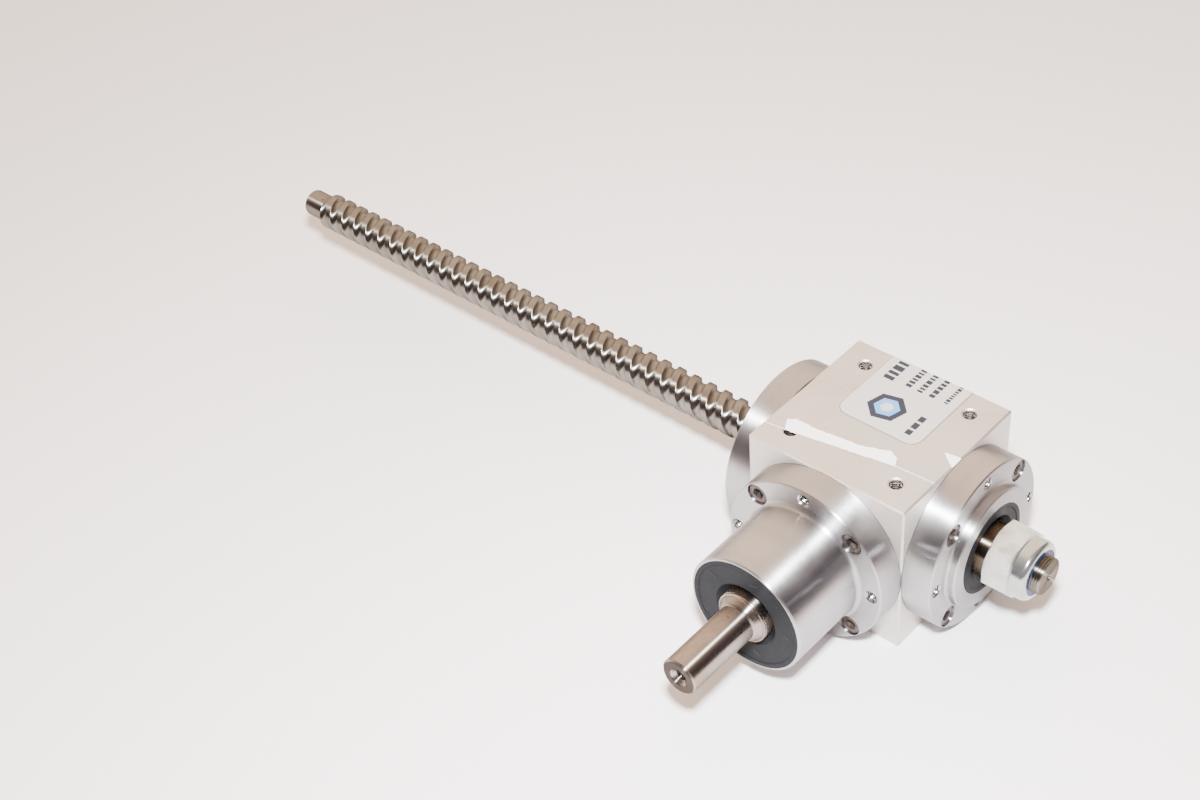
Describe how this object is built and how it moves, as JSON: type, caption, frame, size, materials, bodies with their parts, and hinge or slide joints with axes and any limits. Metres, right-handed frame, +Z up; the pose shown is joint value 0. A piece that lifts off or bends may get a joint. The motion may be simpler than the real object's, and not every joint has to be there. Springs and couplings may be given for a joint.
{
  "type": "ball screw drive with bevel gearbox",
  "caption": "Right-angle bevel gearbox turning a ball screw that is keyed and clamped by a lock nut in its hollow output shaft, with a nosed input shaft cartridge.",
  "frame": {"origin": "middle of the cube housing's bottom face", "axes": "+X along the ball screw from its free tip to the lock nut, -Y along the input shaft out of the gearbox, +Z up"},
  "size_m": [0.3727, 0.144, 0.0652],
  "materials": {
    "housing_aluminium": "satin, natural milled",
    "flange_aluminium": "satin, natural turned",
    "black_oxide_steel": "black oxide, satin",
    "nitrile_rubber": "matte",
    "seal_rubber": "moulded, semi-matte",
    "label_film": "satin printed film",
    "ground_steel": "ground bright",
    "gear_steel": "hardened, satin",
    "key_steel": "drawn bright",
    "spring_steel": "phosphated, satin",
    "hollow_shaft_steel": "turned and ground",
    "screw_steel": "rolled and polished",
    "zinc_plated_steel": "zinc plated, satin",
    "blue_nylon": "satin",
    "bearing_steel": "ground and lapped",
    "ball_steel": "mirror polished",
    "cage_steel": "satin"
  },
  "bodies": {
    "gearbox": {"housing": "housing_aluminium", "input_flange": "flange_aluminium", "output_flange_front": "flange_aluminium", "output_flange_rear": "flange_aluminium", "input_flange_screws": "black_oxide_steel", "output_front_screws": "black_oxide_steel", "output_rear_screws": "black_oxide_steel", "input_o_ring": "nitrile_rubber", "output_front_o_ring": "nitrile_rubber", "output_rear_o_ring": "nitrile_rubber", "input_seal": "seal_rubber", "output_front_seal": "seal_rubber", "output_rear_seal": "seal_rubber", "label": "label_film", "input_bore_circlip": "spring_steel", "input_inner_bearing_outer_ring": "bearing_steel", "input_outer_bearing_outer_ring": "bearing_steel", "output_front_bearing_outer_ring": "bearing_steel", "output_rear_bearing_outer_ring": "bearing_steel"},
    "input_shaft_set": {"input_shaft": "ground_steel", "input_pinion": "gear_steel", "pinion_key": "key_steel", "input_spacer": "key_steel", "input_shaft_circlip": "spring_steel", "input_inner_bearing_inner_ring": "bearing_steel", "input_outer_bearing_inner_ring": "bearing_steel"},
    "screw_set": {"hollow_shaft": "hollow_shaft_steel", "output_gear": "gear_steel", "gear_key": "key_steel", "ball_screw": "screw_steel", "screw_key": "key_steel", "lock_nut": "zinc_plated_steel", "lock_nut_insert": "blue_nylon", "output_front_bearing_inner_ring": "bearing_steel", "output_rear_bearing_inner_ring": "bearing_steel"},
    "input_ball_sets": {"input_inner_bearing_balls": "ball_steel", "input_inner_bearing_cage": "cage_steel", "input_outer_bearing_balls": "ball_steel", "input_outer_bearing_cage": "cage_steel"},
    "output_ball_sets": {"output_front_bearing_balls": "ball_steel", "output_front_bearing_cage": "cage_steel", "output_rear_bearing_balls": "ball_steel", "output_rear_bearing_cage": "cage_steel"}
  },
  "joints": [
    {"name": "screw_spin", "type": "hinge", "parent": "gearbox", "child": "screw_set", "pos_m": [0, 0, 0.0325], "axis": [1, 0, 0], "continuous": true},
    {"name": "input_spin", "type": "hinge", "parent": "gearbox", "child": "input_shaft_set", "pos_m": [0, 0, 0.0325], "axis": [0, -1, 0], "continuous": true},
    {"name": "output_cage_spin", "type": "hinge", "parent": "gearbox", "child": "output_ball_sets", "pos_m": [0, 0, 0.0325], "axis": [1, 0, 0], "continuous": true},
    {"name": "input_cage_spin", "type": "hinge", "parent": "gearbox", "child": "input_ball_sets", "pos_m": [0, 0, 0.0325], "axis": [0, -1, 0], "continuous": true}
  ],
  "couplings": [
    {"joint": "input_spin", "follows": "screw_spin", "ratio": 1},
    {"joint": "output_cage_spin", "follows": "screw_spin", "ratio": 0.3976},
    {"joint": "input_cage_spin", "follows": "screw_spin", "ratio": 0.3976}
  ]
}
